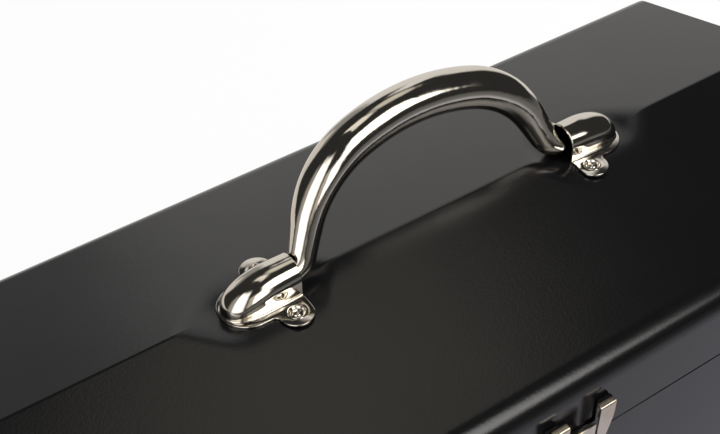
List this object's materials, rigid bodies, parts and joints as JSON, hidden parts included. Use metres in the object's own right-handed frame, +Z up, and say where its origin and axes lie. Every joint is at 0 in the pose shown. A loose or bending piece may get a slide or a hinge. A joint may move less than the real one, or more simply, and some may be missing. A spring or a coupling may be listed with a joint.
{
  "type": "sewing box with trays",
  "caption": "Long peaked-lid steel carry box with a folding grip handle, a draw latch and cantilever trays that rise with the lid.",
  "frame": {"origin": "middle of the underside", "axes": "+X along the ridge to the right as seen from the latch, the latch side faces -Y, +Z up"},
  "size_m": [0.508, 0.2526, 0.3064],
  "materials": {
    "black_paint": "semi-gloss black",
    "nickel": "bright nickel plate",
    "zinc_steel": "bright zinc",
    "tray_paint": "satin grey"
  },
  "bodies": {
    "box": {"body_wrap": "black_paint", "body_end_panels": "black_paint", "body_rim": "zinc_steel", "hinge_body_leaf": "zinc_steel", "hinge_pin": "zinc_steel", "latch_base": "nickel", "latch_base_rivets": "nickel", "latch_lever_pin": "nickel", "upper_arm_posts": "nickel", "lower_arm_posts": "nickel"},
    "lid": {"lid_wrap": "black_paint", "lid_end_panels": "black_paint", "hinge_lid_leaf": "zinc_steel", "handle_brackets": "nickel", "bracket_rivets": "nickel", "lid_catch": "nickel", "lid_catch_rivets": "nickel", "lid_link_posts": "nickel"},
    "handle": {"handle": "nickel"},
    "latch_lever": {"latch_lever": "nickel"},
    "latch_claw": {"latch_claw": "nickel", "latch_claw_pin": "nickel"},
    "upper_rear_arms": {"upper_rear_arms": "zinc_steel", "crank_rivets": "zinc_steel"},
    "upper_front_arms": {"upper_front_arms": "zinc_steel"},
    "lower_rear_arms": {"lower_rear_arms": "zinc_steel"},
    "lower_front_arms": {"lower_front_arms": "zinc_steel"},
    "upper_tray": {"upper_tray": "tray_paint", "upper_tray_dividers": "tray_paint", "upper_tray_pins": "zinc_steel"},
    "lower_tray": {"lower_tray": "tray_paint", "lower_tray_dividers": "tray_paint", "lower_tray_pins": "zinc_steel"},
    "drive_links": {"drive_links": "zinc_steel"}
  },
  "joints": [
    {"name": "lid_hinge", "type": "hinge", "parent": "box", "child": "lid", "pos_m": [0, 0.1166, 0.168], "axis": [-1, 0, 0], "range_deg": [0, 105]},
    {"name": "upper_front_arm_pivot", "type": "hinge", "parent": "box", "child": "upper_front_arms", "pos_m": [0, 0.00486, 0.12216], "axis": [-1, 0, 0], "range_deg": [0, 105]},
    {"name": "upper_rear_arm_pivot", "type": "hinge", "parent": "box", "child": "upper_rear_arms", "pos_m": [0, 0.05486, 0.14176], "axis": [-1, 0, 0], "range_deg": [0, 105]},
    {"name": "lower_front_arm_pivot", "type": "hinge", "parent": "box", "child": "lower_front_arms", "pos_m": [0, -0.03698, 0.08482], "axis": [-1, 0, 0], "range_deg": [0, 105]},
    {"name": "lower_rear_arm_pivot", "type": "hinge", "parent": "box", "child": "lower_rear_arms", "pos_m": [0, 0.01302, 0.10442], "axis": [-1, 0, 0], "range_deg": [0, 105]},
    {"name": "upper_tray_pivot", "type": "hinge", "parent": "upper_rear_arms", "child": "upper_tray", "pos_m": [0, -0.0348, 0.1496], "axis": [-1, 0, 0], "range_deg": [-105, 0]},
    {"name": "lower_tray_pivot", "type": "hinge", "parent": "lower_rear_arms", "child": "lower_tray", "pos_m": [0, -0.0348, 0.1086], "axis": [-1, 0, 0], "range_deg": [-105, 0]},
    {"name": "drive_link_pivot", "type": "hinge", "parent": "lid", "child": "drive_links", "pos_m": [0, 0.08371, 0.17997], "axis": [-1, 0, 0], "range_deg": [-105, 0]},
    {"name": "handle_fold", "type": "hinge", "parent": "lid", "child": "handle", "pos_m": [0, 0, 0.24188], "axis": [1, 0, 0], "range_deg": [-60, 99]},
    {"name": "latch_lever_pivot", "type": "hinge", "parent": "box", "child": "latch_lever", "pos_m": [0, -0.12, 0.156], "axis": [-1, 0, 0], "range_deg": [-8, 100]},
    {"name": "latch_claw_pivot", "type": "hinge", "parent": "latch_lever", "child": "latch_claw", "pos_m": [0, -0.12068, 0.14398], "axis": [-1, 0, 0], "range_deg": [-115, 9.2]}
  ],
  "couplings": [
    {"joint": "upper_front_arm_pivot", "follows": "lid_hinge", "ratio": 1},
    {"joint": "upper_rear_arm_pivot", "follows": "lid_hinge", "ratio": 1},
    {"joint": "lower_front_arm_pivot", "follows": "lid_hinge", "ratio": 1},
    {"joint": "lower_rear_arm_pivot", "follows": "lid_hinge", "ratio": 1},
    {"joint": "upper_tray_pivot", "follows": "lid_hinge", "ratio": -1},
    {"joint": "lower_tray_pivot", "follows": "lid_hinge", "ratio": -1},
    {"joint": "drive_link_pivot", "follows": "lid_hinge", "ratio": -1},
    {"joint": "latch_claw_pivot", "follows": "latch_lever_pivot", "ratio": -1.15}
  ]
}
